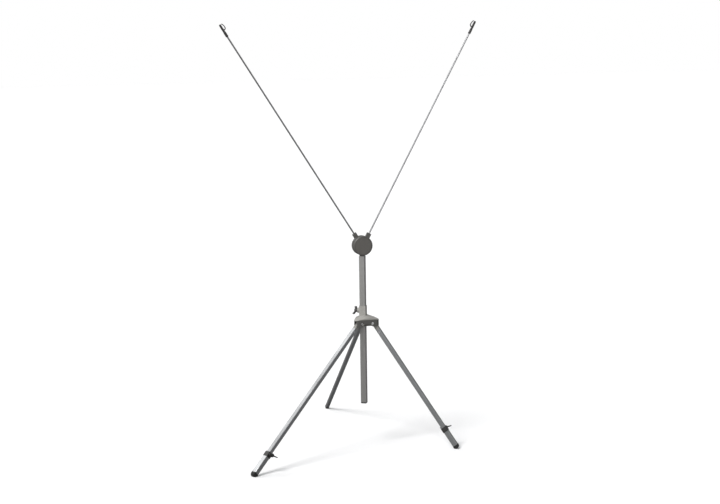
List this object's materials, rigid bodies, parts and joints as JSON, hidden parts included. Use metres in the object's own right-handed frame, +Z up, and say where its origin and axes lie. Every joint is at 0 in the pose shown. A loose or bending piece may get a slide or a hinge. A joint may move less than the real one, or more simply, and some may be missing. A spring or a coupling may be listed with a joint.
{
  "type": "tripod stand with rabbit ears arms",
  "caption": "Folding tripod stand with a square mast, a two-disc friction head and two slim V-spread rods ending in hook clips, as on a rabbit ears antenna",
  "frame": {"origin": "On the floor, on the axis of the mast", "axes": "+Z up along the mast; -Y is the front that both friction discs face across; +X is the right arm's side"},
  "size_m": [0.9217, 0.8232, 1.4873],
  "materials": {
    "tube_aluminium": "satin anodised, fine lengthwise lines",
    "grey_moulding": "fine moulded grain, warm grey",
    "charcoal_moulding": "fine moulded grain, charcoal",
    "dark_moulding": "fine moulded grain, near black",
    "rod_steel": "drawn rod, satin",
    "bright_steel": "zinc plated",
    "insert_brass": "turned",
    "pad_nylon": "natural nylon",
    "friction_fibre": "pressed fibre",
    "foot_rubber": "matt moulded rubber"
  },
  "bodies": {
    "base": {"spider": "grey_moulding", "mast_screw_insert": "insert_brass", "left_hinge_bolt": "bright_steel", "right_hinge_bolt": "bright_steel", "rear_hinge_bolt": "bright_steel", "left_hinge_nut": "bright_steel", "right_hinge_nut": "bright_steel", "rear_hinge_nut": "bright_steel"},
    "mast": {"mast_tube": "tube_aluminium", "mast_bottom_plug": "dark_moulding", "mast_top_socket": "dark_moulding"},
    "head": {"head_post": "charcoal_moulding", "swivel_screw": "bright_steel", "swivel_washer": "bright_steel", "friction_washers": "friction_fibre", "pivot_bolt": "bright_steel", "pivot_nut": "bright_steel", "pivot_washers": "bright_steel"},
    "right_arm": {"front_disc": "charcoal_moulding", "front_cover": "charcoal_moulding", "right_rod": "rod_steel", "right_hook": "dark_moulding"},
    "left_arm": {"rear_disc": "charcoal_moulding", "rear_cover": "charcoal_moulding", "left_rod": "rod_steel", "left_hook": "dark_moulding"},
    "left_leg": {"left_knuckle": "dark_moulding", "left_knuckle_rivet": "bright_steel", "left_leg_tube": "tube_aluminium"},
    "right_leg": {"right_knuckle": "dark_moulding", "right_knuckle_rivet": "bright_steel", "right_leg_tube": "tube_aluminium"},
    "rear_leg": {"rear_knuckle": "dark_moulding", "rear_knuckle_rivet": "bright_steel", "rear_leg_tube": "tube_aluminium", "rear_foot": "foot_rubber"},
    "left_foot_sleeve": {"left_sleeve": "tube_aluminium", "left_clamp_collar": "dark_moulding", "left_screw_insert": "insert_brass", "left_foot": "foot_rubber"},
    "right_foot_sleeve": {"right_sleeve": "tube_aluminium", "right_clamp_collar": "dark_moulding", "right_screw_insert": "insert_brass", "right_foot": "foot_rubber"},
    "mast_pad": {"mast_clamp_pad": "pad_nylon"},
    "left_pad": {"left_clamp_pad": "pad_nylon"},
    "right_pad": {"right_clamp_pad": "pad_nylon"},
    "mast_screw": {"mast_wing_screw": "dark_moulding"},
    "left_screw": {"left_wing_screw": "dark_moulding"},
    "right_screw": {"right_wing_screw": "dark_moulding"}
  },
  "joints": [
    {"name": "mast_height", "type": "slide", "parent": "base", "child": "mast", "axis": [0, 0, 1], "range_m": [-0.13, 0.24]},
    {"name": "head_swivel", "type": "hinge", "parent": "mast", "child": "head", "pos_m": [0, 0, 0.702], "axis": [0, 0, 1], "continuous": true},
    {"name": "right_arm_pivot", "type": "hinge", "parent": "head", "child": "right_arm", "pos_m": [0, 0, 0.702], "axis": [0, 1, 0], "range_deg": [-28.7, 112]},
    {"name": "left_arm_pivot", "type": "hinge", "parent": "head", "child": "left_arm", "pos_m": [0, 0, 0.702], "axis": [0, -1, 0], "range_deg": [-32.2, 109]},
    {"name": "left_leg_fold", "type": "hinge", "parent": "base", "child": "left_leg", "pos_m": [-0.02079, -0.019, 0.431], "axis": [-0.5, 0.866, 0], "range_deg": [-50, 0]},
    {"name": "right_leg_fold", "type": "hinge", "parent": "base", "child": "right_leg", "pos_m": [0.03291, -0.019, 0.431], "axis": [-0.5, -0.866, 0], "range_deg": [-34.3, 15.7]},
    {"name": "rear_leg_fold", "type": "hinge", "parent": "base", "child": "rear_leg", "pos_m": [0.00606, 0.0275, 0.431], "axis": [1, 0, 0], "range_deg": [-50, 0]},
    {"name": "left_foot_extend", "type": "slide", "parent": "left_leg", "child": "left_foot_sleeve", "axis": [-0.6634, -0.383, -0.6428], "range_m": [-0.023, 0.02]},
    {"name": "right_foot_extend", "type": "slide", "parent": "right_leg", "child": "right_foot_sleeve", "axis": [0.488, -0.2818, -0.8261], "range_m": [-0.013, 0.02]},
    {"name": "mast_pad_slide", "type": "slide", "parent": "base", "child": "mast_pad", "axis": [-0.866, 0.5, 0], "range_m": [0, 0.0021]},
    {"name": "mast_screw_turn", "type": "hinge", "parent": "mast_pad", "child": "mast_screw", "pos_m": [0, 0, 0.473], "axis": [-0.866, 0.5, 0], "range_deg": [0, 720]},
    {"name": "left_pad_slide", "type": "slide", "parent": "left_foot_sleeve", "child": "left_pad", "axis": [0.5, -0.866, 0], "range_m": [0, 0.0021]},
    {"name": "left_screw_turn", "type": "hinge", "parent": "left_pad", "child": "left_screw", "pos_m": [-0.40275, -0.23953, 0.06091], "axis": [0.5, -0.866, 0], "range_deg": [0, 720]},
    {"name": "right_pad_slide", "type": "slide", "parent": "right_foot_sleeve", "child": "right_pad", "axis": [0.5, 0.866, 0], "range_m": [0, 0.0021]},
    {"name": "right_screw_turn", "type": "hinge", "parent": "right_pad", "child": "right_screw", "pos_m": [0.24754, -0.14292, 0.06768], "axis": [0.5, 0.866, 0], "range_deg": [0, 720]}
  ],
  "couplings": [
    {"joint": "mast_pad_slide", "follows": "mast_screw_turn", "m_per_rad": 0.00015915},
    {"joint": "left_pad_slide", "follows": "left_screw_turn", "m_per_rad": 0.00015915},
    {"joint": "right_pad_slide", "follows": "right_screw_turn", "m_per_rad": 0.00015915}
  ]
}
